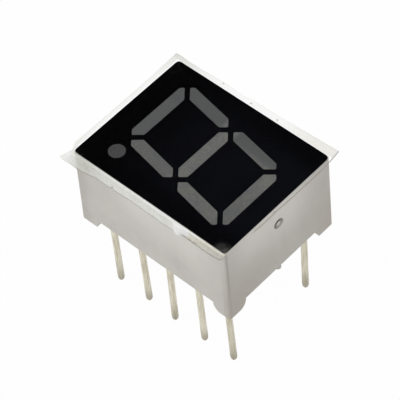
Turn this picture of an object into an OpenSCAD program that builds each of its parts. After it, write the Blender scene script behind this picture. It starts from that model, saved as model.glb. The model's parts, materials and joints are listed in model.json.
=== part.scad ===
// One-digit seven segment LED display, 0.39 inch digit, ten pins in two rows of five.
// The display stands on its pin tips with its face up: +X is the digit's right,
// +Y the digit's top, and the origin lies between the pin tips.

/* [Housing] */
// Distance from the middle of a pin row to the face's edge beside it
side_margin = 1.19; // [1.1:0.01:2]
// Distance from the middle of an end pin to the face's edge beyond it
end_margin = 1.42; // [1.2:0.01:2.6]
// Height of the walls, from their lower edge to the face
body_h = 6.05; // [5.2:0.05:8]
// Widening of each side from the face down to the walls' lower edge
draft = 0.06; // [0.02:0.01:0.12]
// Radius of the four upright corners
corner_r = 0.2; // [0.15:0.05:0.5]
// Radius of the corners inside the walls
inner_r = 0.1; // [0.05:0.05:0.3]
// Thickness of the outer walls round the board
wall_t = 0.55; // [0.4:0.05:0.6]
// Width of the ledge inside the walls that the board seats on
ledge_w = 0.3; // [0.15:0.05:0.4]
// Thickness of the plate behind the face
plate_t = 0.8; // [0.5:0.05:1.2]
// Thickness of the walls of the light wells below that plate
well_wall = 0.3; // [0.2:0.02:0.4]
// How much each side of a light well closes in, from the plate to the board
well_taper = 0.14; // [0.04:0.02:0.16]

/* [Feet] */
// Height of the feet below the walls
foot_h = 0.75; // [0.4:0.05:1]
// Length of the feet along the short walls
foot_short = 1.63; // [1.2:0.01:2]
// Length of the feet with sloping ends along the long walls
foot_long = 1.6; // [1.2:0.05:2.2]
// Length of the rounded foot along its long wall
round_foot_long = 1.35; // [1:0.05:2]
// Length of the rounded foot along its short wall
round_foot_short = 1.5; // [1:0.05:2]
// How far the end of a sloping foot leans in, from root to sole
foot_lean = 0.3; // [0.1:0.05:0.6]
// Radius at the ends of the rounded foot
foot_r = 0.7; // [0.2:0.05:0.75]
// Diameter of the peg under the middle of the top wall
peg_d = 0.4; // [0.2:0.05:0.5]

/* [Gate] */
// Diameter of the round recess that the moulding gate left in the top wall
gate_d = 0.8; // [0.6:0.1:1.4]
// Depth of that recess
gate_deep = 0.1; // [0.08:0.02:0.2]
// Distance of its centre below the face
gate_drop = 1.8; // [1.4:0.1:2.6]
// Diameter of the broken-off stub in the recess
stub_d = 0.26; // [0.2:0.02:0.4]
// Height of that stub above the recess floor
stub_h = 0.06; // [0.04:0.02:0.14]

/* [Digit] */
// Width of the upright digit, over its side segments
digit_w = 6.2; // [5.6:0.05:6.5]
// Height of the digit
digit_h = 9.9; // [9:0.05:10.2]
// Width of a segment
stroke = 0.92; // [0.8:0.02:1.1]
// Gap between two segments
seg_gap = 0.39; // [0.3:0.01:0.45]
// Lean of the digit to the right, in degrees
slant = 10; // [5:0.5:12]
// Cut across the two open corners of the digit, along each edge
cut_open = 0.87; // [0.76:0.01:1]
// Cut across the two sharp corners of the digit, along each edge
cut_sharp = 0.79; // [0.76:0.01:0.95]
// Radius of a segment's corners
seg_r = 0.1; // [0.04:0.02:0.14]
// Place of the digit's middle to the right of the face's middle
digit_x = -0.06; // [-0.2:0.02:0.2]
// Place of the digit's middle above the face's middle
digit_y = 0.16; // [-0.2:0.02:0.2]
// Diameter of the decimal point
point_d = 1.16; // [0.8:0.02:1.2]
// How far the decimal point reaches below the digit
point_drop = 0.1; // [0:0.02:0.2]

/* [Face] */
// Thickness of the black mask printed on the face
mask_t = 0.05; // [0.03:0.01:0.1]
// Bare edge of the face round the mask
mask_edge = 0.02; // [0.02:0.01:0.12]
// Radius of the mask's corners, at least that of the housing's
mask_r = 0.3; // [0.2:0.05:0.6]

/* [Board and chips] */
// Thickness of the circuit board
board_t = 1; // [0.6:0.1:1.6]
// Gap round the board in its recess
board_gap = 0.05; // [0.02:0.01:0.1]
// Diameter of the pin holes in the board
hole_d = 0.6; // [0.58:0.01:0.64]
// Thickness of the cast resin behind the board
resin_t = 1.05; // [0.7:0.05:1.6]
// Side of a square light chip
die_side = 0.25; // [0.18:0.01:0.3]
// Height of a light chip
die_h = 0.2; // [0.12:0.02:0.24]
// Diameter of a bond wire
wire_d = 0.03; // [0.02:0.005:0.04]
// Distance from a chip's middle to the foot of its bond wire
wire_span = 0.5; // [0.36:0.02:0.6]
// Room between the decimal point's bond wire and the wall of its well
wire_room = 0.08; // [0.04:0.01:0.12]

/* [Pins] */
// Distance between neighbouring pins in a row
pitch = 2.54; // [2.3:0.02:2.8]
// Distance between the two rows
row_gap = 7.62; // [7.2:0.02:9]
// Diameter of a pin
pin_d = 0.46; // [0.36:0.01:0.5]
// Length of the pins below the feet
pin_out = 7.2; // [3:0.1:12]
// Length of the pointed tip
tip_h = 0.2; // [0.1:0.05:0.5]
// Diameter of the blunt end of the tip
tip_d = 0.24; // [0.08:0.02:0.3]
// Width of a pin where it is pressed flat to grip the board
flat_w = 0.5; // [0.44:0.01:0.54]
// Thickness of a pin where it is pressed flat
flat_t = 0.26; // [0.2:0.01:0.3]
// Depth of the pins' upper ends in the solder, below the top of the board
pin_sunk = 0.1; // [0.05:0.05:0.3]
// Height of the solder cone round each pin under the board
solder_h = 0.4; // [0.2:0.05:0.6]
// How far the solder spreads round each hole
solder_rim = 0.12; // [0.05:0.01:0.16]

/* [Protective film] */
// Thickness of the clear film over the face
film_t = 0.06; // [0.04:0.01:0.1]
// How far the film reaches past the left edge of the face, at mid length
film_left = 0.46; // [0.2:0.02:0.8]
// How far it reaches past the bottom edge
film_bottom = 0.43; // [0.2:0.01:0.6]
// How far it reaches past the top edge
film_top = 0.28; // [0.1:0.02:0.4]
// Turn of its left edge against the housing, in degrees
film_turn = 1.7; // [0:0.1:3]
// Width of the flap that is folded down over the right wall
flap_w = 1.1; // [0.6:0.05:1.6]
// Inner radius of the fold
fold_r = 0.1; // [0.05:0.01:0.2]
// How far the flap's loose bottom corner reaches past the bottom edge of the film
flap_stray = 0.27; // [0:0.01:0.4]
// Steepness of the folded flap along most of its length, in degrees
flap_steep = 84; // [70:1:88]
// Steepness of the flap at its loose bottom corner, in degrees
flap_loose = 46; // [30:1:70]
// Share of its width that the flap loses towards that corner
flap_taper = 0.3; // [0:0.05:0.4]

/* [Hidden] */
$fn = 64;
FACET_FN = 32;
SEAM = 0.2;                       // overlap of shapes that are cut through or fused
SOLE_BITE = 0.95;                 // height of a foot's round end, as a share of its radius
PINS_PER_ROW = 5;
COUNT = 2 * PINS_PER_ROW;
SEGMENTS = ["a", "b", "c", "d", "e", "f", "g"];
POINT = "dp";
LIGHTS = concat(SEGMENTS, [POINT]);

// Width and length of the face
body_w = row_gap + 2 * side_margin;
body_l = (PINS_PER_ROW - 1) * pitch + 2 * end_margin;

// Heights, from the pin tips up
z_sole = pin_out;
z_wall = z_sole + foot_h;
z_back = z_wall + resin_t;
z_board = z_back + board_t;
z_pin = z_board - pin_sunk;
z_face = z_wall + body_h;
z_top = z_face + mask_t;
z_plate = z_face - plate_t;

// Half sizes of the digit and the run of its 45 degree mitres
half_w = digit_w / 2;
half_h = digit_h / 2;
mitre = seg_gap / sqrt(2);
well_step = seg_r / 2;            // the wells start this far inside the windows

// ---- Digit ----------------------------------------------------------------

// Outlines in the upright digit, each edge moved out by g. The long edges lie along
// the segment; the short ones are mitres and corner cuts at 45 degrees.
function top_bar(g) = let (k = g * sqrt(2)) [
    [-half_w + stroke + mitre + g - k, half_h - stroke - g],
    [half_w - stroke - mitre - g + k, half_h - stroke - g],
    [half_w - (cut_sharp + mitre) / 2 + k, half_h + (mitre - cut_sharp) / 2],
    [half_w - cut_sharp - g + k, half_h + g],
    [-half_w + cut_open + g - k, half_h + g],
    [-half_w + (cut_open + mitre) / 2 - k, half_h + (mitre - cut_open) / 2]
];

// Upper side segment on the right, with corner cut c
function upper_bar(g, c) = let (k = g * sqrt(2), low = stroke / 2 + mitre + g - k) [
    [half_w - stroke / 2, mitre - k],
    [half_w + g, low],
    [half_w + g, half_h - c - g + k],
    [half_w - (c - mitre) / 2, half_h - (mitre + c) / 2 + k],
    [half_w - stroke - g, half_h - stroke - mitre - g + k],
    [half_w - stroke - g, low]
];

function middle_bar(g) = let (
    tip = half_w - stroke / 2 - mitre + g * sqrt(2),
    flat = half_w - stroke - mitre - g + g * sqrt(2),
    up = stroke / 2 + g
) [[-tip, 0], [-flat, -up], [flat, -up], [tip, 0], [flat, up], [-flat, up]];

function turned(points) = [for (p = points) -p];
function flipped(points) = [for (i = [len(points) - 1:-1:0]) [-points[i].x, points[i].y]];
function leant(points) = [
    for (p = points) [p.x + p.y * tan(slant) + digit_x, p.y + digit_y]
];

function outline(name, g = 0) = leant(
    name == "a" ? top_bar(g)
    : name == "b" ? upper_bar(g, cut_sharp)
    : name == "c" ? turned(flipped(upper_bar(g, cut_open)))
    : name == "d" ? turned(top_bar(g))
    : name == "e" ? turned(upper_bar(g, cut_sharp))
    : name == "f" ? flipped(upper_bar(g, cut_open))
    : middle_bar(g)
);

function middle(points) = [for (k = [0, 1]) (min([for (p = points) p[k]])
    + max([for (p = points) p[k]])) / 2];

// The decimal point sits one segment gap off the digit's lower right side
point_y = -half_h + digit_y + point_d / 2 - point_drop;
point_x = half_w + digit_x + (point_y - digit_y) * tan(slant) + seg_gap + point_d / 2;

function light_at(name) = name == POINT ? [point_x, point_y] : middle(outline(name));

// Bond wires run along their segment
function wire_turn(name) = name == "a" || name == "d" || name == "g" ? 0
    : name == POINT ? 90 : 90 - slant;

// Straight-sided solid between an outline at z0 and one with as many points at z1
module loft(low, z0, high, z1) {
    n = len(low);
    polyhedron(
        points = concat([for (p = low) [p.x, p.y, z0]], [for (p = high) [p.x, p.y, z1]]),
        faces = concat(
            [[for (i = [0:n - 1]) i]],
            [[for (i = [2 * n - 1:-1:n]) i]],
            [for (i = [0:n - 1]) let (j = (i + 1) % n) [i, i + n, j + n, j]]
        )
    );
}

// Window of one light through the face, with round corners
module window(name) {
    if (name == POINT)
        translate([point_x, point_y]) circle(d = point_d);
    else
        offset(r = seg_r, $fn = FACET_FN) offset(delta = -seg_r) polygon(outline(name));
}

// Tapered well of one light below the plate, each side moved out by g
module well(name, g, z0, z1) {
    low = g - well_step - well_taper;
    if (name == POINT)
        translate([point_x, point_y, z0])
            cylinder(d1 = point_d + 2 * low, d2 = point_d + 2 * (g - well_step), h = z1 - z0);
    else
        loft(outline(name, low), z0, outline(name, g - well_step), z1);
}

// Everything one light fills: the well and, above it, the window up to height z1
module light_space(name, z1) {
    well(name, 0, z_board, z_plate);
    translate([0, 0, z_plate]) linear_extrude(z1 - z_plate) window(name);
}

// ---- Housing ---------------------------------------------------------------

module rounded_rect(w, l, r) {
    square([w - 2 * r, l], center = true);
    square([w, l - 2 * r], center = true);
    for (x = [-1, 1], y = [-1, 1])
        translate([x * (w / 2 - r), y * (l / 2 - r)]) circle(r);
}

// Half the widening of the drafted walls at height z
function flare(z) = draft * (z_face - z) / body_h;

recess_w = body_w - 2 * wall_t;
recess_l = body_l - 2 * wall_t;

// Outside of the housing, from the soles of the feet to the face
module drafted_block() {
    w = body_w + 2 * flare(z_sole);
    l = body_l + 2 * flare(z_sole);
    translate([0, 0, z_sole])
        linear_extrude(z_face - z_sole, scale = [body_w / w, body_l / l], slices = 1)
            rounded_rect(w, l, corner_r);
}

// Side view of the end of a foot, from the corner of the wall inwards, sole at height 0
module foot_end(reach, rounded) {
    if (rounded) {
        r = min(foot_r, foot_h, reach - wall_t);
        rise = r * SOLE_BITE;
        translate([-SEAM, -SEAM]) square([reach + SEAM - r, foot_h + 2 * SEAM]);
        translate([-SEAM, rise]) square([reach + SEAM, foot_h + SEAM - rise]);
        translate([reach - r, rise]) circle(r);
    } else {
        run = foot_lean / foot_h;
        polygon([
            [-SEAM, -SEAM], [reach - foot_lean - run * SEAM, -SEAM],
            [reach + run * SEAM, foot_h + SEAM], [-SEAM, foot_h + SEAM]
        ]);
    }
}

// Opening under one wall between two feet that reach a and b inwards from its ends,
// cut through a wall that runs along X, centred, with its outer face at y = 0
module foot_gap(length, a, a_round, b, b_round) {
    translate([0, wall_t + SEAM, 0]) rotate([90, 0, 0]) linear_extrude(wall_t + 2 * SEAM)
        difference() {
            translate([-length / 2 + wall_t, -SEAM])
                square([length - 2 * wall_t, foot_h + SEAM]);
            translate([-length / 2, 0]) foot_end(a, a_round);
            translate([length / 2, 0]) mirror([1, 0]) foot_end(b, b_round);
        }
}

// The openings under all four walls; the foot at the top right corner is rounded
module foot_gaps() {
    translate([0, 0, z_sole]) {
        translate([0, -body_l / 2, 0])
            foot_gap(body_w, foot_short, false, foot_short, false);
        translate([body_w / 2, 0, 0]) rotate([0, 0, 90])
            foot_gap(body_l, foot_long, false, round_foot_long, true);
        translate([0, body_l / 2, 0]) rotate([0, 0, 180])
            foot_gap(body_w, round_foot_short, true, foot_short, false);
        translate([-body_w / 2, 0, 0]) rotate([0, 0, 270])
            foot_gap(body_l, foot_long, false, foot_long, false);
    }
}

module gate_recess() {
    translate([0, body_l / 2 - gate_deep, z_face - gate_drop]) rotate([-90, 0, 0])
        difference() {
            cylinder(d = gate_d, h = gate_deep + SEAM);
            translate([0, 0, -SEAM]) cylinder(d = stub_d, h = stub_h + SEAM);
        }
}

module peg() {
    translate([0, body_l / 2 - wall_t / 2, z_sole]) {
        translate([0, 0, peg_d / 2]) cylinder(d = peg_d, h = foot_h + SEAM - peg_d / 2);
        translate([0, 0, peg_d / 2]) sphere(d = peg_d);
    }
}

module reflector_housing() {
    color([0.86, 0.85, 0.82]) {
        difference() {
            drafted_block();
            foot_gaps();
            translate([0, 0, z_sole - SEAM]) linear_extrude(z_board - z_sole + SEAM)
                rounded_rect(recess_w, recess_l, inner_r);
            difference() {
                translate([0, 0, z_board - SEAM]) linear_extrude(z_plate - z_board + SEAM)
                    rounded_rect(recess_w - 2 * ledge_w, recess_l - 2 * ledge_w, inner_r);
                for (name = LIGHTS) well(name, well_wall, z_board, z_plate);
            }
            for (name = LIGHTS) light_space(name, z_face + SEAM);
            gate_recess();
        }
        peg();
    }
}

// ---- Face ------------------------------------------------------------------

module face_mask() {
    color([0.02, 0.02, 0.03]) translate([0, 0, z_face]) linear_extrude(mask_t)
        difference() {
            rounded_rect(body_w - 2 * mask_edge, body_l - 2 * mask_edge, max(mask_r, corner_r));
            for (name = LIGHTS) window(name);
        }
}

// Diffusing resin that fills one light from the board to the front of the mask
module segment(name) {
    color([0.42, 0.42, 0.42]) difference() {
        light_space(name, z_top);
        die_shape(name);
        wire_shape(name);
    }
}

// ---- Board, chips and resin --------------------------------------------------

function pin_at(i) = i <= PINS_PER_ROW
    ? [-row_gap / 2, ((PINS_PER_ROW + 1) / 2 - i) * pitch]
    : [row_gap / 2, (i - PINS_PER_ROW - (PINS_PER_ROW + 1) / 2) * pitch];

module at_pins() {
    for (i = [1:COUNT]) translate(pin_at(i)) children();
}

module circuit_board() {
    color([0.75, 0.68, 0.42]) translate([0, 0, z_back]) linear_extrude(board_t)
        difference() {
            rounded_rect(recess_w - 2 * board_gap, recess_l - 2 * board_gap, inner_r);
            at_pins() circle(d = hole_d);
        }
}

module die_shape(name) {
    translate(concat(light_at(name), z_board + die_h / 2)) rotate([0, 0, wire_turn(name)])
        cube([die_side, die_side, die_h], center = true);
}

// The decimal point's small round well leaves less reach for its bond wire
function wire_reach(name) = name != POINT ? wire_span
    : min(wire_span, point_d / 2 - well_step - well_taper - wire_room);

// Arch from the top of the chip over to a straight foot on the board
module wire_shape(name) {
    span = wire_reach(name);
    translate(concat(light_at(name), z_board)) rotate([0, 0, wire_turn(name)]) {
        translate([span / 2, 0, die_h]) rotate([90, 0, 0]) rotate_extrude(angle = 180)
            translate([span / 2, 0]) circle(d = wire_d);
        translate([span, 0, 0]) cylinder(d = wire_d, h = die_h);
    }
}

module led_die(name) {
    color([0.9, 0.75, 0.35]) die_shape(name);
}

module bond_wires() {
    color([0.9, 0.7, 0.2]) for (name = LIGHTS) wire_shape(name);
}

// Resin behind the board, level with the lower edge of the walls
module back_resin() {
    color([0.88, 0.86, 0.8]) difference() {
        translate([0, 0, z_wall]) linear_extrude(resin_t)
            rounded_rect(recess_w, recess_l, inner_r);
        at_pins() {
            translate([0, 0, z_wall - SEAM]) flat_shape(resin_t + 2 * SEAM);
            solder_cone();
        }
    }
}

// ---- Pins --------------------------------------------------------------------

module flat_shape(h) {
    translate([-flat_t / 2, -flat_w / 2, 0]) cube([flat_t, flat_w, h]);
}

module solder_cone() {
    translate([0, 0, z_back - solder_h])
        cylinder(d1 = flat_w, d2 = hole_d + 2 * solder_rim, h = solder_h);
}

module solder_joints() {
    color([0.75, 0.75, 0.74]) at_pins() difference() {
        union() {
            solder_cone();
            translate([0, 0, z_back]) cylinder(d = hole_d, h = board_t);
        }
        translate([0, 0, z_wall]) flat_shape(z_pin - z_wall);
    }
}

// Round tinned wire with a blunt point. It swells between the feet, up to where it is
// pressed flat to pass resin and board.
module pin(i) {
    color([0.8, 0.77, 0.66]) translate(pin_at(i)) {
        cylinder(d1 = tip_d, d2 = pin_d, h = tip_h);
        translate([0, 0, tip_h]) cylinder(d = pin_d, h = z_sole - tip_h);
        translate([0, 0, z_sole]) cylinder(d1 = pin_d, d2 = flat_w, h = foot_h);
        translate([0, 0, z_wall]) flat_shape(z_pin - z_wall);
    }
}

// ---- Protective film -----------------------------------------------------------

// Shares of the film's length at which its section is given, from bottom to top
FILM_STATIONS = [0, 0.04, 0.08, 0.13, 0.18, 0.24, 0.4, 0.6, 0.8, 0.92, 1];
FOLD_STEPS = 4;
LOOSE_SHARE = 0.24;               // the flap lifts off the wall along this share

film_y0 = -body_l / 2 - film_bottom;
film_y1 = body_l / 2 + film_top;
fold_x = body_w / 2;

// 1 at the loose corner, falling smoothly to 0 where the flap lies along the wall
function looseness(s) = s >= LOOSE_SHARE ? 0 : pow(1 - s / LOOSE_SHARE, 2);

function steepness(s) = flap_steep + (flap_loose - flap_steep) * looseness(s);

// Section of the film at share s, seen along Y, at distance d outside its underside
function film_side(s, d) = let (
    left = -body_w / 2 - film_left
        - ((1 - s) * film_y0 + s * film_y1) * tan(film_turn),
    steep = steepness(s),
    bend = [fold_x, z_top - fold_r],
    run = flap_w * (1 - flap_taper * looseness(s)) - fold_r
) concat(
    [[left, z_top + d]],
    [for (k = [0:FOLD_STEPS]) let (a = steep * k / FOLD_STEPS)
        bend + (fold_r + d) * [sin(a), cos(a)]],
    [bend + (fold_r + d) * [sin(steep), cos(steep)] + run * [cos(steep), -sin(steep)]]
);

function film_section(s) = let (
    inner = film_side(s, 0),
    outer = film_side(s, film_t),
    n = len(inner),
    y = (1 - s) * film_y0 + s * film_y1
) [for (k = [0:2 * n - 1]) let (
    j = k < n ? k : 2 * n - 1 - k,
    p = k < n ? inner[j] : outer[j],
    stray = flap_stray * looseness(s) * max(0, p.x - fold_x) / flap_w
) [p.x, y - stray, p.y]];

// One closed sheet through all the sections
module protective_film() {
    sections = [for (s = FILM_STATIONS) film_section(s)];
    n = len(sections[0]);
    last = len(sections) - 1;
    // The ends are closed by strips between the underside and the upper side
    strips = [for (j = [0:n / 2 - 2]) [j, j + 1, n - 2 - j, n - 1 - j]];
    color([0.9, 0.92, 0.9, 0.5]) polyhedron(
        points = [for (section = sections) each section],
        faces = concat(
            [for (f = strips) [f[3], f[2], f[1], f[0]]],
            [for (f = strips) [for (k = f) last * n + k]],
            [for (i = [0:last - 1], k = [0:n - 1]) let (j = (k + 1) % n)
                each [
                    [i * n + k, i * n + j, (i + 1) * n + j],
                    [i * n + k, (i + 1) * n + j, (i + 1) * n + k]
                ]]
        )
    );
}

// ---- Nodes -----------------------------------------------------------------------

reflector_housing();
face_mask();
circuit_board();
back_resin();
solder_joints();
bond_wires();
protective_film();
for (name = LIGHTS)
    segment(name);
for (name = LIGHTS)
    led_die(name);
for (i = [1:COUNT])
    pin(i);
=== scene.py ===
import json
import math

import bmesh
import bpy
from mathutils import Matrix, Vector, noise

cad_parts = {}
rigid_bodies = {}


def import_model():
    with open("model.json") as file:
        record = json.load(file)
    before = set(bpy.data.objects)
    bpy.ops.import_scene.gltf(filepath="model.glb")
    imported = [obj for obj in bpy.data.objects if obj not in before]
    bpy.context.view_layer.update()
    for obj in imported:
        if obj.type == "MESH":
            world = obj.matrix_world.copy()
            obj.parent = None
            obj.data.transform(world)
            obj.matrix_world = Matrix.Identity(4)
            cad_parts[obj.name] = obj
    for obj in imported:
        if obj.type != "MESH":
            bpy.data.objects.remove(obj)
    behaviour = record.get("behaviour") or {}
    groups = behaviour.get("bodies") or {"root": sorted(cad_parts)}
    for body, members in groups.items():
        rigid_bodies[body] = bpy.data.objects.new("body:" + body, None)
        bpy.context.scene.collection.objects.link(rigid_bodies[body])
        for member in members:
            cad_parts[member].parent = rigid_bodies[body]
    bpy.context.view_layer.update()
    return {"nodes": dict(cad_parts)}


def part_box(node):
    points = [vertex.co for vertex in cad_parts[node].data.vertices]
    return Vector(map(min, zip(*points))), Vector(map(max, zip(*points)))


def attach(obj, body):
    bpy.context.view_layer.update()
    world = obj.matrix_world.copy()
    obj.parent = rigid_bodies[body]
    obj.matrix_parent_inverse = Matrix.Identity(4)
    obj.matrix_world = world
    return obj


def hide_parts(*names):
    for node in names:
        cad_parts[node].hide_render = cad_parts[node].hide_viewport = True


# Seven segment display: materials of its CAD pieces, the clear film over its face, its ten wire pins,
# and the pale studio round it.

for old in list(bpy.data.objects):
    bpy.data.objects.remove(old)

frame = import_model()
nodes = frame["nodes"]

MM = 0.001
FOOT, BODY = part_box("reflector_housing")    # the drafted body is widest at its foot
RIM = 0.02                                  # plain plastic round the printed mask
FACE_X, FACE_Y, MASK_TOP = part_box("face_mask")[1] / MM + Vector((RIM, RIM, 0))
FACE_Z = BODY.z / MM
DRAFT = (BODY.y / MM - FACE_Y) / (FACE_Z - FOOT.z / MM)
DIGIT_Y = sum(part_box("segment_g"), Vector()).y / 2 / MM     # middle of the digit
SLANT = math.tan(math.radians(10))          # lean of the digit towards +X
FOLD_X = FACE_X + 0.027                     # where the film starts to bend down
EDGE_Y = FACE_Y + 0.067                     # where it leaves the top and bottom walls


# ---------------------------------------------------------------- node helpers

class Tree:
    """Short names for building a shader tree around one Principled BSDF. Sizes are in millimetres."""

    def __init__(self, name):
        self.mat = bpy.data.materials.new(name)
        self.mat.use_nodes = True
        self.tree = self.mat.node_tree
        self.tree.nodes.clear()
        self.out = self.tree.nodes.new("ShaderNodeOutputMaterial")
        self.bsdf = self.tree.nodes.new("ShaderNodeBsdfPrincipled")
        self.tree.links.new(self.bsdf.outputs[0], self.out.inputs[0])
        self.coords = self.tree.nodes.new("ShaderNodeTexCoord").outputs["Object"]

    def node(self, kind, **props):
        n = self.tree.nodes.new(kind)
        for k, v in props.items():
            setattr(n, k, v)
        return n

    def put(self, socket, value):
        if isinstance(value, bpy.types.NodeSocket):
            self.tree.links.new(value, socket)
        else:
            socket.default_value = value

    def math(self, op, a, b=0.0, c=0.0, clamp=False):
        n = self.node("ShaderNodeMath", operation=op, use_clamp=clamp)
        for socket, value in zip(n.inputs, (a, b, c)):
            self.put(socket, value)
        return n.outputs[0]

    def times(self, *values):
        """Product of the values."""
        result = values[0]
        for value in values[1:]:
            result = self.math("MULTIPLY", result, value)
        return result

    def axes(self):
        """x, y and z of the point."""
        n = self.node("ShaderNodeVectorMath", operation="SCALE")
        self.put(n.inputs[0], self.coords)
        n.inputs["Scale"].default_value = 1 / MM
        s = self.node("ShaderNodeSeparateXYZ")
        self.tree.links.new(n.outputs[0], s.inputs[0])
        return s.outputs

    def scaled(self, size, stretch=(1, 1, 1), shift=(0, 0, 0)):
        """The point's place, in steps of that size."""
        m = self.node("ShaderNodeMapping")
        self.put(m.inputs["Vector"], self.coords)
        m.inputs["Scale"].default_value = [s / (size * MM) for s in stretch]
        m.inputs["Location"].default_value = shift
        return m.outputs[0]

    def noise(self, size, detail=3.0, rough=0.5, stretch=(1, 1, 1), shift=(0, 0, 0)):
        """Noise from 0 to 1 with features of about that size."""
        n = self.node("ShaderNodeTexNoise")
        self.put(n.inputs["Vector"], self.scaled(size, stretch, shift))
        n.inputs["Scale"].default_value = 1.0
        n.inputs["Detail"].default_value = detail
        n.inputs["Roughness"].default_value = rough
        return n.outputs["Fac"]

    def spots(self, size):
        """Distance from the nearest of points strewn about that far apart."""
        n = self.node("ShaderNodeTexVoronoi")
        self.put(n.inputs["Vector"], self.scaled(size))
        n.inputs["Scale"].default_value = 1.0
        return n.outputs["Distance"]

    def ramp(self, fac, start, stop):
        """Smooth step between two (position, value) pairs."""
        n = self.node("ShaderNodeMapRange", interpolation_type="SMOOTHSTEP")
        (a, u), (b, v) = start, stop
        for name, value in (("From Min", a), ("From Max", b), ("To Min", u), ("To Max", v)):
            n.inputs[name].default_value = value
        self.put(n.inputs["Value"], fac)
        return n.outputs["Result"]

    def near(self, point, radius, soft):
        """1 within radius of a point, falling to 0 over soft."""
        n = self.node("ShaderNodeVectorMath", operation="DISTANCE")
        self.put(n.inputs[0], self.coords)
        n.inputs[1].default_value = [p * MM for p in point]
        return self.ramp(n.outputs["Value"], (radius * MM, 1.0), ((radius + soft) * MM, 0.0))

    def mix(self, fac, a, b):
        n = self.node("ShaderNodeMix", data_type="RGBA", clamp_factor=True)
        self.put(n.inputs[0], fac)
        for socket, value in ((n.inputs[6], a), (n.inputs[7], b)):
            if isinstance(value, (tuple, list)):
                value = (*value[:3], 1.0)
            self.put(socket, value)
        return n.outputs[2]

    def bump(self, height, depth, strength, after=None):
        """Bump of that depth."""
        n = self.node("ShaderNodeBump")
        n.inputs["Strength"].default_value = strength
        n.inputs["Distance"].default_value = depth * MM
        self.put(n.inputs["Height"], height)
        if after is not None:
            self.put(n.inputs["Normal"], after)
        return n.outputs[0]

    def set(self, **values):
        for name, value in values.items():
            socket = self.bsdf.inputs[name.replace("_", " ")]
            if isinstance(value, (tuple, list)) and socket.type == "RGBA":
                value = (*value[:3], 1.0)
            self.put(socket, value)


def srgb(r, g, b):
    """Linear colour of an 8 bit screen colour."""
    return tuple((c / 255 / 12.92) if c <= 10 else ((c / 255 + 0.055) / 1.055) ** 2.4
                 for c in (r, g, b))


# ---------------------------------------------------------------- materials

def housing_material():
    m = Tree("white_housing_plastic")
    x, y, z = m.axes()
    top_wall = m.ramp(y, (FACE_Y - 0.5, 0.0), (FACE_Y - 0.3, 1.0))
    cloud = m.ramp(m.noise(2.6, 4), (0.3, 0.0), (0.7, 1.0))
    base = m.mix(cloud, srgb(208, 204, 197), srgb(200, 196, 190))
    # Greasy, slightly darker streaks that run down the walls
    streak = m.ramp(m.noise(0.9, 3, 0.6, (1, 1, 0.18)), (0.52, 0.0), (0.75, 1.0))
    base = m.mix(m.times(streak, 0.18), base, srgb(182, 178, 170))
    # Dust specks
    speck = m.ramp(m.spots(0.55), (0.05, 1.0), (0.09, 0.0))
    rare = m.ramp(m.noise(1.7, 1, 0.5, shift=(3, 8, 5)), (0.6, 0.0), (0.66, 1.0))
    base = m.mix(m.times(speck, rare, 0.5), base, srgb(120, 112, 98))
    # Painted light: the walls are paler near the middle of their upper edge
    base = m.mix(painted_light_share(m, x, y, z, top_wall), base, srgb(232, 229, 222))
    # Painted shade: the top wall is darker towards its foot and its ends
    ends = m.ramp(m.math("ABSOLUTE", m.math("ADD", x, 0.8)), (0.5, 0.3), (5.2, 1.0))
    foot = m.times(m.ramp(z, (8.0, 1.0), (13.4, 0.0)), ends, top_wall)
    base = m.mix(foot, base, srgb(190, 183, 172))
    # Painted shade at the far end of the right wall: the shadow of the film's flap and the shade beside
    # its far edge
    far_shade = m.times(m.ramp(y, (-6.5, 0.5), (-5.2, 0.0)), m.ramp(x, (1.0, 0.0), (4.8, 1.0)))
    base = m.mix(far_shade, base, srgb(176, 171, 163))
    # Lint on the top wall, just below the face
    for px, pz in ((-2.62, 13.62), (-0.87, 13.56), (0.4, 13.75)):
        lint = m.times(m.near((px, FACE_Y, pz), 0.04, 0.07), top_wall)
        base = m.mix(m.times(lint, 0.6), base, srgb(92, 84, 76))
    # Stain and painted shadow in the moulding gate's recess
    base = m.mix(gate_stain_and_shadow(m, x, y, z, top_wall), base, srgb(70, 62, 44))
    # Painted shade: a grey line runs down the top wall beside its near upright edge
    start = m.ramp(x, (FACE_X - 0.26, 0.0), (FACE_X - 0.16, 1.0))
    stop = m.ramp(x, (FACE_X - 0.09, 1.0), (FACE_X - 0.03, 0.0))
    line = m.times(start, stop, top_wall, m.ramp(z, (9.0, 0.35), (10.5, 0.6)))
    base = m.mix(line, base, srgb(168, 163, 155))
    m.set(Base_Color=base, Roughness=m.ramp(m.noise(0.5, 4), (0.3, 0.36), (0.7, 0.5)), IOR=1.5)
    fine = m.bump(m.noise(0.06, 2), 0.0006, 0.5)
    m.set(Normal=m.bump(m.noise(0.9, 3), 0.012, 0.5, fine))
    return m.mat


def painted_light_share(m, x, y, z, top_wall):
    """How much paler the walls are painted near the middle of their upper edge, as painted light."""
    middle_x, middle_y = 0.6, 1.0
    across = m.times(m.math("ABSOLUTE", m.math("SUBTRACT", x, middle_x)), 1 / FACE_X, top_wall)
    along = m.times(m.math("ABSOLUTE", m.math("SUBTRACT", y, middle_y)), 1 / FACE_Y)
    apart = m.math("ADD", across, m.times(along, m.math("SUBTRACT", 1.0, top_wall)))
    lit_patch = m.times(m.ramp(z, (8.9, 0.0), (13.5, 1.0)), m.ramp(apart, (0.3, 1.0), (0.95, 0.0)))
    return m.times(lit_patch, m.math("ADD", 0.75, m.times(top_wall, 0.2)))


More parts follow.
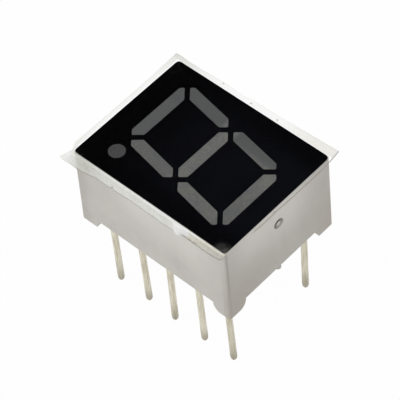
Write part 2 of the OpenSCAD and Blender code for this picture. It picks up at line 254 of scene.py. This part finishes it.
def gate_stain_and_shadow(m, x, y, z, top_wall):
    """Brown ring round the stub in the moulding gate's recess, partly stain and partly the painted shadow
    of the recess rim, darkest above it and leaning as it goes in."""
    drop, shift = 1.75, 0.08                # its centre below the face, and to the right
    lean_x, lean_z = 0.94, 1.71             # sideways and upward, for each mm of depth
    wall = m.math("ADD", FACE_Y, m.times(m.math("SUBTRACT", FACE_Z, z), DRAFT))
    depth = m.math("SUBTRACT", wall, y)
    dx = m.math("SUBTRACT", m.math("MULTIPLY_ADD", depth, lean_x, x), shift)
    dz = m.math("SUBTRACT", m.math("MULTIPLY_ADD", depth, lean_z, z), FACE_Z - drop)
    dist = m.math("SQRT", m.math("MULTIPLY_ADD", dx, dx, m.times(dz, dz)))
    ring = m.times(m.ramp(dist, (0.13, 0.0), (0.24, 1.0)), m.ramp(dist, (0.34, 1.0), (0.46, 0.0)))
    above = m.ramp(m.math("MULTIPLY_ADD", dx, 0.5, m.times(dz, 0.87)), (-0.28, 0.15), (0.24, 1.0))
    return m.times(ring, above, top_wall, 0.95)


def mask_material():
    m = Tree("black_mask_ink")
    x, y, _ = m.axes()
    # Painted reflection: a little greyer and bluer in the middle and towards the top
    mask_reflection = m.times(m.ramp(y, (-5.4, 0.0), (0.5, 1.0)),
                    m.ramp(m.math("ABSOLUTE", x), (2.6, 1.0), (4.3, 0.3)),
                    m.ramp(m.noise(3.5, 2), (0.3, 0.7), (0.7, 1.0)))
    ink = m.mix(mask_reflection, srgb(1, 1, 2), srgb(11, 12, 17))
    # The ink is thin and scuffed at the top right corner
    corner = m.near((FACE_X, FACE_Y - 0.25, FACE_Z), 0.05, 0.9)
    scuff = m.times(corner, m.ramp(m.noise(0.35, 4, 0.65), (0.3, 0.35), (0.7, 1.0)))
    ink = m.mix(m.times(scuff, 0.6), ink, srgb(112, 110, 108))
    # Fine dust gathers at the two bottom corners
    left = m.near((-FACE_X, -FACE_Y, FACE_Z), 0.3, 1.6)
    right = m.near((FACE_X, -FACE_Y, FACE_Z), 0.2, 1.0)
    dust = m.times(m.math("ADD", left, right, clamp=True),
                   m.ramp(m.noise(0.16, 5, 0.75), (0.54, 0.0), (0.66, 1.0)))
    ink = m.mix(m.times(dust, 0.3), ink, srgb(90, 88, 86))
    m.set(Base_Color=ink, Roughness=m.ramp(m.noise(0.4, 3), (0.3, 0.4), (0.7, 0.55)), IOR=1.45)
    m.set(Specular_IOR_Level=0.01)
    return m.mat


def diffuser_material():
    m = Tree("grey_diffuser_resin")
    cloud = m.ramp(m.noise(0.55, 4, 0.6), (0.3, 0.0), (0.7, 1.0))
    tone = m.mix(cloud, srgb(94, 96, 98), srgb(106, 105, 100))
    # Mottled by the diffusing powder in the resin
    powder = m.ramp(m.noise(0.16, 3, 0.6), (0.4, 0.0), (0.62, 1.0))
    tone = m.mix(m.times(powder, 0.5), tone, srgb(121, 121, 115))
    # Painted shade for the uneven light off the segments
    tone = m.mix(m.times(segment_shade(m), 0.9), tone, srgb(77, 78, 79))
    # Painted shade: the decimal point darker still
    point = sum(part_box("segment_dp"), Vector()) / 2 / MM
    tone = m.mix(m.near((point.x, point.y, FACE_Z), 0.66, 0.2), tone, srgb(59, 59, 59))
    m.set(Base_Color=tone, Roughness=m.ramp(m.noise(0.3, 3), (0.3, 0.5), (0.7, 0.65)), IOR=1.5)
    m.set(Specular_IOR_Level=0.3)
    m.set(Normal=m.bump(m.noise(0.1, 2), 0.0008, 0.4))
    return m.mat


def segment_shade(m):
    """How much painted shade each place gets, for the uneven light off the resin: most at the left-hand
    segments and the lowest one, less at the right-hand ones and at the end of the top one."""
    x, y, _ = m.axes()
    off_bar = m.ramp(m.math("ABSOLUTE", m.math("SUBTRACT", y, DIGIT_Y)), (0.46, 0.0), (0.8, 1.0))
    left = m.times(m.ramp(x, (-2.3, 1.0), (-1.5, 0.0)), off_bar)
    upright = m.math("MULTIPLY_ADD", y, -SLANT, x)
    below_mitre = m.ramp(m.math("ADD", upright, y), (-1.85, 1.0), (-1.65, 0.0))
    low = m.times(m.ramp(y, (-3.95, 0.85), (-3.7, 0.0)), below_mitre)
    right = m.times(m.ramp(upright, (1.8, 0.0), (2.1, 1.0)), m.ramp(y, (-1.2, 0.45), (1.2, 0.2)), off_bar)
    end = m.times(m.ramp(x, (-1.0, 0.0), (2.8, 0.5)), m.ramp(y, (3.9, 0.0), (4.3, 1.0)))
    return m.math("MAXIMUM", m.math("MAXIMUM", left, low), m.math("MAXIMUM", right, end))


def metal(name, light, dark, rough, size):
    m = Tree(name)
    tone = m.mix(m.ramp(m.noise(size, 4, 0.6, (1, 1, 0.3)), (0.3, 0.0), (0.7, 1.0)), light, dark)
    m.set(Base_Color=tone, Metallic=0.75)
    m.set(Roughness=m.ramp(m.noise(size * 0.6, 3), (0.3, rough), (0.7, rough + 0.16)))
    m.set(Normal=m.bump(m.noise(size * 0.25, 3, 0.5, (1, 1, 0.15)), 0.002, 0.5))
    return m


def pin_material():
    """Drawn and tinned wire: lengthwise streaks, dull blotches and a bare cut end."""
    m = metal("tinned_pin", srgb(230, 225, 207), srgb(214, 208, 190), 0.34, 0.5)
    tone = m.bsdf.inputs["Base Color"].links[0].from_socket
    streak = m.ramp(m.noise(0.13, 3, 0.6, (1, 1, 0.06)), (0.46, 0.0), (0.66, 1.0))
    tone = m.mix(m.times(streak, 0.5), tone, srgb(168, 157, 128))
    blotch = m.ramp(m.noise(0.5, 4, 0.6, (1, 1, 0.4), (2, 5, 1)), (0.5, 0.0), (0.7, 1.0))
    tone = m.mix(m.times(blotch, 0.4), tone, srgb(176, 170, 152))
    _, y, z = m.axes()
    tone = m.mix(m.ramp(z, (0.0, 0.6), (2.3, 0.0)), tone, srgb(120, 113, 94))
    # The two pins beside the top wall are duller
    tone = m.mix(m.ramp(y, (3.6, 0.0), (4.6, 0.2)), tone, srgb(160, 152, 130))
    m.set(Base_Color=tone)
    return m.mat


def resin_material():
    m = Tree("back_resin")
    cloud = m.ramp(m.noise(1.6, 3), (0.3, 0.0), (0.7, 1.0))
    tone = m.mix(cloud, srgb(214, 210, 196), srgb(198, 193, 178))
    bubble = m.ramp(m.spots(0.7), (0.07, 1.0), (0.11, 0.0))
    tone = m.mix(m.times(bubble, 0.35), tone, srgb(160, 152, 132))
    m.set(Base_Color=tone, Roughness=0.22, IOR=1.54)
    m.set(Normal=m.bump(m.noise(2.2, 2), 0.05, 0.6, m.bump(bubble, 0.02, 0.5)))
    return m.mat


def board_material():
    m = Tree("board_laminate")
    warp = m.ramp(m.noise(0.25, 2, 0.5, (1, 0.15, 1)), (0.4, 0.0), (0.6, 1.0))
    weft = m.ramp(m.noise(0.25, 2, 0.5, (0.15, 1, 1)), (0.4, 0.0), (0.6, 1.0))
    weave = m.times(warp, weft)
    m.set(Base_Color=m.mix(weave, srgb(196, 178, 116), srgb(170, 152, 92)), Roughness=0.5)
    m.set(Normal=m.bump(weave, 0.01, 0.5))
    return m.mat


def film_material():
    """Clear over the face, whitened where it is bent and creased, with a painted highlight where it is
    whitest, and a darker cut edge with the painted shadow it casts. The sheet's own attributes say how
    hazy each place is and how near its cut edge."""
    m = Tree("clear_film")
    _, y, _ = m.axes()
    haze = m.node("ShaderNodeAttribute", attribute_name="haze").outputs["Fac"]
    line = m.node("ShaderNodeAttribute", attribute_name="line").outputs["Fac"]
    crease = m.mix(0.5, m.noise(0.3, 3, 0.55, (1, 1, 0.3)), m.noise(1.1, 3, 0.6, shift=(4, 1, 7)))
    crease = m.ramp(crease, (0.35, 0.0), (0.65, 1.0))
    # Specks of dust past the left wall and at the bottom right corner
    speck = 0.0
    for px, py in ((-FACE_X - 0.18, -0.29), (-FACE_X - 0.18, 1.95), (-FACE_X - 0.3, -2.8),
                   (FACE_X, -EDGE_Y - 0.03)):
        speck = m.math("ADD", speck, m.near((px, py, MASK_TOP), 0.04, 0.1))
    alpha = m.times(haze, m.ramp(crease, (0.0, 0.93), (1.0, 1.0)))
    for other in (m.times(line, 0.85), 0.0004, m.times(speck, 0.28)):
        alpha = m.math("MAXIMUM", alpha, other)
    # Milky, and warmer towards the top
    warm = m.ramp(y, (0.5, 0.0), (4.0, 1.0))
    tone = m.mix(crease, m.mix(warm, srgb(236, 237, 227), srgb(240, 236, 219)),
                 m.mix(warm, srgb(244, 244, 238), srgb(246, 243, 231)))
    middle = m.times(m.ramp(y, (-5.0, 0.0), (-3.6, 1.0)), m.ramp(y, (2.8, 1.0), (3.6, 0.0)))
    tone = m.mix(m.times(middle, 0.75), tone, srgb(255, 255, 250))
    # Painted highlight: the whitest places, at the bulge and along the fold, go near white
    tone = m.mix(m.ramp(haze, (0.84, 0.0), (0.95, 1.0)), tone, srgb(254, 254, 253))
    # Tan smears on the flap
    for py, pz in ((4.05, 13.34), (4.22, 13.46), (-0.15, 12.9)):
        smear = m.near((FACE_X + 0.17, py, pz), 0.06, 0.16)
        tone = m.mix(m.times(smear, 0.6), tone, srgb(204, 182, 156))
    # Dark cut edge, together with the painted shadow it casts on the wall below
    tone = m.mix(line, tone, srgb(128, 121, 106))
    tone = m.mix(speck, tone, srgb(104, 98, 92))
    m.set(Base_Color=tone, Alpha=alpha, IOR=1.5)
    m.set(Roughness=m.ramp(m.noise(0.6, 3), (0.3, 0.15), (0.7, 0.32)))
    m.set(Normal=m.bump(m.times(haze, m.noise(0.5, 2, 0.5, (1, 1, 0.5))), 0.004, 0.5))
    return m.mat


HOUSING = housing_material()
MASK = mask_material()
DIFFUSER = diffuser_material()
PIN = pin_material()
RESIN = resin_material()
BOARD = board_material()
FILM = film_material()
SOLDER = metal("solder", srgb(190, 190, 188), srgb(170, 170, 166), 0.3, 0.4).mat
GOLD = metal("bond_wire", srgb(222, 176, 70), srgb(200, 150, 50), 0.2, 0.2).mat
CHIP = metal("light_chip", srgb(206, 176, 96), srgb(176, 140, 70), 0.35, 0.2).mat

BY_NODE = {
    "reflector_housing": HOUSING, "face_mask": MASK, "circuit_board": BOARD,
    "back_resin": RESIN, "solder_joints": SOLDER, "bond_wires": GOLD,
    "protective_film": FILM,
}
for name, piece in nodes.items():
    mat = BY_NODE.get(name)
    if mat is None:
        mat = DIFFUSER if name.startswith("segment_") else CHIP if name.startswith("led_die_") else PIN
    for slot in piece.material_slots:
        slot.material = mat


# ---------------------------------------------------------------- pieces

def add_mesh(name, verts, faces, mat):
    mesh = bpy.data.meshes.new(name)
    mesh.from_pydata([Vector(v) * MM for v in verts], [], faces)
    mesh.validate()
    mesh.update()
    piece = bpy.data.objects.new(name, mesh)
    bpy.context.scene.collection.objects.link(piece)
    mesh.materials.append(mat)
    mesh.polygons.foreach_set("use_smooth", [True] * len(mesh.polygons))
    return piece


def grid_faces(rows, row_length):
    """Four-sided faces between rows of points that follow one another."""
    corners = [j * row_length + i for j in range(rows - 1) for i in range(row_length - 1)]
    return [(c, c + 1, c + row_length + 1, c + row_length) for c in corners]


def stops_at(stops, t):
    """Values at t, straight between rows of (place, value, ...) stops."""
    t = min(max(t, stops[0][0]), stops[-1][0])
    for a, b in zip(stops, stops[1:]):
        if t <= b[0]:
            k = (t - a[0]) / (b[0] - a[0])
            return [u + (v - u) * k for u, v in zip(a[1:], b[1:])]


def bell(distance, width):
    """1 at no distance, falling off to both sides."""
    return math.exp(-(distance / width) ** 2)


# ---- the film: flat over the face and bent down along FOLD_X, so that its flap lies by the right wall

FILM_START = -6.95              # Y of its first row, past the bottom wall
FILM_THICK = 0.04
LIFT = 0.012                    # air between it and the mask
FOLD_STEPS, DROP_STEPS = 6, 16  # points round the fold and down the flap
STEP, FINE_STEP = 0.06, 0.02    # between its rows along Y
END_STEPS = 15                  # fine rows past the top wall
PINCH = 0.31                    # how far its bottom end is drawn up at the fold
PINCH_REACH = 0.35              # how far from that corner it is drawn along
NICK_Y = -2.97                  # where the flap's free edge has a nick
PUFF_Y = 2.85                   # where the flap bulges outward
GLINT_Y = 3.6                   # where the fold's white, a painted highlight, runs down the flap
FAR = 9                         # stands for no cut edge nearby

# Along Y: the flap's free edge in x and z, and the radius of the fold
FLAP = [
    # bent round widely at the bottom wall, and hanging lowest just above it
    (-6.95, 5.63, 13.63, 0.30), (-6.83, 5.50, 13.25, 0.35), (-6.45, 5.35, 13.06, 0.25),
    (-6.08, 5.25, 12.80, 0.20), (-5.6, 5.19, 12.80, 0.15), (-5.12, 5.15, 12.85, 0.12),
    (-4.45, 5.14, 13.06, 0.10), (-3.61, 5.13, 13.04, 0.10), (-3.32, 5.14, 13.06, 0.10),
    # the nick
    (-3.04, 5.16, 13.14, 0.10), (-2.95, 5.19, 13.38, 0.10), (-2.89, 5.15, 13.10, 0.10),
    # nearly straight
    (-1.79, 5.13, 13.13, 0.10), (-1.46, 5.13, 13.18, 0.10), (-0.12, 5.13, 13.12, 0.10),
    (1.9, 5.13, 13.12, 0.10), (2.3, 5.14, 13.19, 0.11),
    # the bulge, with the edge drawn up on both sides
    (2.42, 5.18, 13.34, 0.15), (2.54, 5.25, 13.22, 0.22), (2.73, 5.27, 13.17, 0.24),
    (2.95, 5.24, 13.28, 0.20), (3.14, 5.16, 13.43, 0.14), (3.5, 5.13, 13.30, 0.10),
    # straight again, rising to the corner at the top wall
    (3.9, 5.13, 13.25, 0.10), (4.57, 5.13, 13.20, 0.10), (5.42, 5.13, 13.21, 0.10),
    (6.16, 5.13, 13.34, 0.10), (6.56, 5.13, 13.46, 0.09)]
# How far the free edge is shifted along Y, at the two ends of the flap
FLAP_SHIFT = [(-6.95, -0.17), (-6.83, -0.10), (-6.45, 0.0), (6.16, 0.0), (6.56, -0.36)]
FLAP_TOP = 6.62                 # where the flap ends past the top wall
# Along X: where the flat part ends past the top wall, and past the bottom wall
FILM_TOP = [(-5.7, 6.66), (-4.78, 6.77), (-2.5, 6.80), (-0.7, 6.79), (0.24, 6.75), (1.9, 6.77),
            (2.6, 6.72), (3.2, 6.64), (5.06, FLAP_TOP)]
FILM_BOTTOM = [(-5.4, -6.98), (-4.2, -6.94), (-3.0, -6.88), (0.0, -6.85), (5.0, -6.86), (5.3, -6.95)]
# Along Y: where it ends past the left wall and how milky it is there
FILM_LEFT = [(-6.95, -5.32, 0.55), (-6.4, -5.33, 0.47), (-5.9, -5.29, 0.4), (-4.8, -5.3, 0.27),
             (-2.6, -5.42, 0.15), (-1.1, -5.36, 0.13), (-0.4, -5.46, 0.13), (2.0, -5.5, 0.14),
             (3.6, -5.56, 0.21), (5.0, -5.62, 0.29), (6.5, -5.68, 0.31)]
# Along Y: how milky the flap is, how white its fold (whitened, with a painted highlight) and how dark its
# cut edge with its painted shadow
HAZE = [
    (-6.95, 0.25, 0.3, 0.1), (-6.6, 0.4, 0.4, 0.3), (-6.3, 0.58, 0.5, 0.7), (-5.2, 0.55, 0.55, 0.8),
    (-4.2, 0.7, 0.78, 0.8), (-3.1, 0.78, 0.86, 0.9), (-2.5, 0.8, 0.87, 0.7), (-1.4, 0.8, 0.88, 0.85),
    (0.0, 0.8, 0.9, 0.8), (1.6, 0.8, 0.94, 0.5), (2.2, 0.84, 0.95, 0.2),
    # nearly white at the bulge, a painted highlight, then clearer towards the top wall
    (2.5, 0.97, 0.98, 0.0), (2.95, 0.97, 0.98, 0.1), (3.1, 0.96, 0.98, 0.7), (3.5, 0.9, 0.98, 0.8),
    (3.8, 0.7, 0.97, 0.75), (4.2, 0.62, 0.95, 0.5), (4.7, 0.55, 0.88, 0.8), (5.4, 0.38, 0.8, 0.75),
    (6.6, 0.22, 0.5, 0.6)]


def along_rows():
    """Rows of the sheet along Y, closer together at its ends, at the nick and at the bulge."""
    y, rows = FILM_START, []
    while y < EDGE_Y:
        rows.append(y)
        at_nick = abs(y - NICK_Y) < 0.14
        at_bulge = 2.3 < y < 3.2
        y += FINE_STEP if y < -EDGE_Y + 0.04 or at_nick or at_bulge else STEP
    return rows + [EDGE_Y + FINE_STEP * k for k in range(END_STEPS + 1)]


def flat_part(t, top, pinch, white):
    """Points over the face at t along Y: x, shift along Y, z, haze and distance from the cut edge."""
    left, mist_left = stops_at(FILM_LEFT, t)
    # Narrow columns at the mask's left edge and at the fold, and even ones between
    first, last = -FACE_X + 0.02, FOLD_X - 0.05
    columns = [left, left + 0.07, (left - FACE_X) / 2, -FACE_X - 0.01]
    columns += [first + (last - first) * k / 19 for k in range(20)] + [FOLD_X]
    points = []
    for x in columns:
        out = max(0.0, -FACE_X - x)
        # Clear over the face, milky past the walls and at the fold
        if x == FOLD_X:
            mist = white * 0.8
        elif out > 0:
            mist = mist_left
        elif t < -EDGE_Y:
            mist = 0.2 + 0.07 * max(0.0, abs(x) - 2.8)
        else:
            mist = 0.0
        wave = 0.05 * out * noise.noise(Vector((x * 1.2, t * 1.1, 3)))
        sag = 0.1 * max(0.0, t - EDGE_Y)
        points.append((x, pinch * bell(FOLD_X - x, PINCH_REACH), top + wave - sag, mist, x - left))
    return points


def folded_part(t, top, pinch, milk, white):
    """Points round the fold and down the flap at t along Y, with the same five values."""
    edge_x, edge_z, radius = stops_at(FLAP, t)
    shift = stops_at(FLAP_SHIFT, t)[0]
    cx, cz = FOLD_X, top - radius
    # The flap leaves the fold's circle where a straight line from its free edge touches it
    reach = math.sqrt((edge_x - cx) ** 2 + (edge_z - cz) ** 2 - radius ** 2)
    steep = math.atan2(cz - edge_z, edge_x - cx) + math.atan2(radius, reach)
    points = []
    for i in range(1, FOLD_STEPS + 1):
        k = i / FOLD_STEPS
        mist = white + (milk - white) * max(0.0, k - 0.4) / 0.6
        points.append((cx + radius * math.sin(steep * k), shift * 0.3 * k + pinch * (1 - 0.1 * k),
                       cz + radius * math.cos(steep * k), mist, FAR))
    bx, bz = points[-1][0], points[-1][2]
    for i in range(1, DROP_STEPS + 1):
        k = i / DROP_STEPS
        run = reach * k
        # The flap ripples and bulges off the straight line from the fold to its free edge
        ripple = (noise.noise(Vector((t * 1.7, run * 0.8, 0))) * 0.03
                  + noise.noise(Vector((t * 4.6, run * 2.0, 5))) * 0.016)
        puff = 0.13 * bell(t - PUFF_Y, 0.33) * math.sin(math.pi * k)
        away = max(-0.01, ripple * k ** 0.7 * (1 - 0.4 * k) + puff)
        # painted highlight: the fold's white carried down the flap
        glint = max(0.0, 1 - 1.6 * k) * bell(t - GLINT_Y, 0.5)
        points.append((bx + run * math.cos(steep) + away * math.sin(steep),
                       shift * (0.3 + 0.7 * k) + 0.9 * pinch * (1 - k),
                       bz - run * math.sin(steep) + away * math.cos(steep),
                       milk + (white - milk) * glint, reach - run))
    return points


def place_along(t, start, end):
    """Y of a point in row t. The rows past the walls are spread out to where the sheet ends."""
    if t > EDGE_Y:
        return EDGE_Y + (t - EDGE_Y) / (END_STEPS * FINE_STEP) * (end - EDGE_Y)
    if t < -EDGE_Y:
        return -EDGE_Y + (t + EDGE_Y) / (FILM_START + EDGE_Y) * (start + EDGE_Y)
    return t


def fade(distance, width):
    """1 at no distance, falling straight to 0 at that width."""
    return max(0.0, 1 - distance / width)


def film():
    top = MASK_TOP + LIFT
    rows = along_rows()
    verts, haze, line = [], [], []
    for t in rows:
        milk, white, dark = stops_at(HAZE, t)
        dark_width = 0.09 if t <= 3.1 else 0.24 if t < 4.6 else 0.18
        pinch = PINCH * bell(t - FILM_START, PINCH_REACH)
        flat = flat_part(t, top, pinch, white)
        points = flat + folded_part(t, top, pinch, milk, white)
        for i, (x, shift, z, mist, border) in enumerate(points):
            end = FLAP_TOP if x > FOLD_X else stops_at(FILM_TOP, x)[0]
            start = stops_at(FILM_BOTTOM, x)[0]
            y = place_along(t, start, end)
            verts.append((x, y + shift, z))
            haze.append(mist)
            # The cut edge is dark along the flap and past the top wall, with its painted shadow there,
            # and faint elsewhere
            if i >= len(flat) + FOLD_STEPS:
                side = dark * min(1.0, 1.5 * fade(border, dark_width))
            else:
                side = 0.12 * min(1.0, 1.5 * fade(border, 0.09))
            bottom = 0.1 * fade(y - start, 0.06)
            past_top = fade(end - y, 0.09) * (1.0 if x < 2.6 else 0.3)
            line.append(max(side, bottom, past_top))
    o = add_mesh("protective_film_sheet", verts, grid_faces(len(rows), len(points)), FILM)
    for name, values in (("haze", haze), ("line", line)):
        o.data.attributes.new(name, "FLOAT", "POINT").data.foreach_set("value", values)
    thick = o.modifiers.new("thickness", "SOLIDIFY")
    thick.thickness = FILM_THICK * MM
    thick.offset = 1.0
    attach(o, "root")
    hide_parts("protective_film")


# ---- the pins

# How far each pin's tip leans off its place in the grid
PIN_LEAN = {1: (-0.025, -0.045), 2: (0.03, 0.02), 3: (-0.03, 0.04), 4: (0.04, -0.02),
            5: (0.0, -0.05), 6: (-0.09, -0.02), 7: (-0.058, 0.10), 8: (0.008, 0.02),
            9: (-0.02, 0.15), 10: (-0.094, 0.155)}
PIN_R = 0.228                               # radius of the drawn wire
PIN_SIDES = 24
FLAT_X, FLAT_Y = 0.13, 0.25                 # half sizes inside the resin, where it is pressed flat
PIN_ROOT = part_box("back_resin")[0].z / MM   # where it comes out of the resin
# Height and radius of the wire's rings: the cut and rounded tip, the shank, the swelling at its root
PIN_RINGS = [(0.0, 0.05), (0.02, 0.08), (0.09, 0.13), (0.18, 0.18), (0.28, 0.22), (0.42, 0.238),
             (1.2, 0.238), (2.4, 0.233), (3.6, PIN_R), (4.8, PIN_R), (6.0, PIN_R), (7.2, PIN_R),
             (PIN_ROOT - 0.4, 0.235), (PIN_ROOT - 0.02, 0.25)]


def pin(i):
    """Tinned wire pin whose tip leans a little off its place."""
    low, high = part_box(f"pin_{i}")
    centre = (low + high) / 2 / MM
    lean_x, lean_y = PIN_LEAN[i]
    angles = [2 * math.pi * j / PIN_SIDES for j in range(PIN_SIDES)]
    verts = []
    for z, radius in PIN_RINGS:
        k = 1 - z / PIN_ROOT            # share of the lean, which is all at the tip
        for a in angles:
            c, s = math.cos(a), math.sin(a)
            out = radius * (1 + 0.012 * noise.noise(Vector((c * 2 + i * 9, s * 2, z * 1.3))))
            burr = max(0.0, 0.03 * max(0.0, 1 - z / 0.3) * math.cos(a + i * 1.7))
            verts.append((centre.x + lean_x * k + out * c, centre.y + lean_y * k + out * s, z + burr))
    for z in (PIN_ROOT + 0.02, high.z / MM):
        for a in angles:
            c, s = math.cos(a), math.sin(a)
            out = min(FLAT_X / max(abs(c), 1e-6), FLAT_Y / max(abs(s), 1e-6))
            verts.append((centre.x + out * c, centre.y + out * s, z))
    loops = [range(r, r + PIN_SIDES) for r in range(0, len(verts), PIN_SIDES)]
    faces = [tuple(reversed(loops[0]))]
    for below, above in zip(loops, loops[1:]):
        for j in range(PIN_SIDES):
            faces.append((below[j - 1], below[j], above[j], above[j - 1]))
    faces.append(tuple(loops[-1]))
    o = add_mesh(f"pin_{i}_wire", verts, faces, PIN)
    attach(o, "root")
    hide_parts(f"pin_{i}")


film()
for i in range(1, 11):
    pin(i)


# ---------------------------------------------------------------- camera, light, floor

# The camera looks at AIM from this direction, turned from +X towards +Y and raised above the floor
AZIMUTH = math.radians(46.577)
ELEVATION = math.radians(51.732)
ROLL = math.radians(-5.612)
AIM = Vector((0.596, 0.144, 10.0))
DISTANCE = 146.817
SENSOR, FOCAL_LENGTH = 36, 203.955


def camera():
    data = bpy.data.cameras.new("camera")
    cam = bpy.data.objects.new("camera", data)
    bpy.context.scene.collection.objects.link(cam)
    data.sensor_width = SENSOR
    data.lens = FOCAL_LENGTH
    data.clip_start = 5 * MM
    level = math.cos(ELEVATION)
    away = Vector((level * math.cos(AZIMUTH), level * math.sin(AZIMUTH), math.sin(ELEVATION)))
    turn = (-away).to_track_quat("-Z", "Y").to_matrix() @ Matrix.Rotation(ROLL, 3, "Z")
    cam.matrix_world = Matrix.Translation((AIM + away * DISTANCE) * MM) @ turn.to_4x4()
    bpy.context.scene.camera = cam


LAMP_AIM = Vector((0, 0, 10))


def area(name, place, size, power):
    """Square lamp turned towards the part."""
    data = bpy.data.lights.new(name, "AREA")
    data.size = size * MM
    data.energy = power
    lamp = bpy.data.objects.new(name, data)
    bpy.context.scene.collection.objects.link(lamp)
    place = Vector(place)
    lamp.location = place * MM
    lamp.rotation_euler = (LAMP_AIM - place).to_track_quat("-Z", "Y").to_euler()


def sees_background(tree, share):
    """That share for the rays of the camera, of gloss and of glass, 0 for all others."""
    path = tree.nodes.new("ShaderNodeLightPath")
    seen = path.outputs["Is Camera Ray"]
    for name in ("Is Glossy Ray", "Is Transmission Ray"):
        n = tree.nodes.new("ShaderNodeMath")
        n.operation = "MAXIMUM"
        tree.links.new(seen, n.inputs[0])
        tree.links.new(path.outputs[name], n.inputs[1])
        seen = n.outputs[0]
    n = tree.nodes.new("ShaderNodeMath")
    n.operation = "MULTIPLY"
    tree.links.new(seen, n.inputs[0])
    n.inputs[1].default_value = share
    return n.outputs[0]


def mix_shaders(tree, share, a, b, out):
    mixed = tree.nodes.new("ShaderNodeMixShader")
    tree.links.new(share, mixed.inputs[0])
    tree.links.new(a, mixed.inputs[1])
    tree.links.new(b, mixed.inputs[2])
    tree.links.new(mixed.outputs[0], out)


FLOOR_HALF = 600        # half the length of its side
FLOOR_WHITE = 0.975     # the rest of the floor's tone is lit, and so keeps the object's shadow


def floor():
    grid = bmesh.new()
    bmesh.ops.create_grid(grid, x_segments=12, y_segments=12, size=FLOOR_HALF * MM)
    mesh = bpy.data.meshes.new("floor")
    grid.to_mesh(mesh)
    grid.free()
    o = bpy.data.objects.new("floor", mesh)
    bpy.context.scene.collection.objects.link(o)
    mat = bpy.data.materials.new("pale_floor")
    mat.use_nodes = True
    tree = mat.node_tree
    bsdf = tree.nodes["Principled BSDF"]
    bsdf.inputs["Base Color"].default_value = (0.8, 0.8, 0.8, 1)
    bsdf.inputs["Roughness"].default_value = 0.9
    white = tree.nodes.new("ShaderNodeEmission")
    white.inputs["Color"].default_value = (1, 1, 1, 1)
    white.inputs["Strength"].default_value = 1.0
    mix_shaders(tree, sees_background(tree, FLOOR_WHITE), bsdf.outputs[0], white.outputs[0],
                tree.nodes["Material Output"].inputs[0])
    mesh.materials.append(mat)


def world():
    w = bpy.data.worlds.new("studio")
    bpy.context.scene.world = w
    w.use_nodes = True
    tree = w.node_tree
    tree.nodes.clear()
    out = tree.nodes.new("ShaderNodeOutputWorld")
    sky = tree.nodes.new("ShaderNodeBackground")
    sky.inputs["Color"].default_value = (1, 1, 1, 1)
    sky.inputs["Strength"].default_value = 0.55
    white = tree.nodes.new("ShaderNodeBackground")
    white.inputs["Color"].default_value = (1, 1, 1, 1)
    white.inputs["Strength"].default_value = 1.0
    mix_shaders(tree, sees_background(tree, 1.0), sky.outputs[0], white.outputs[0], out.inputs[0])


camera()
floor()
world()
area("key", (220, -100, 200), 160, 0.213)
area("top", (0, 20, 300), 200, 0.09)
bpy.context.scene.view_settings.view_transform = "Standard"
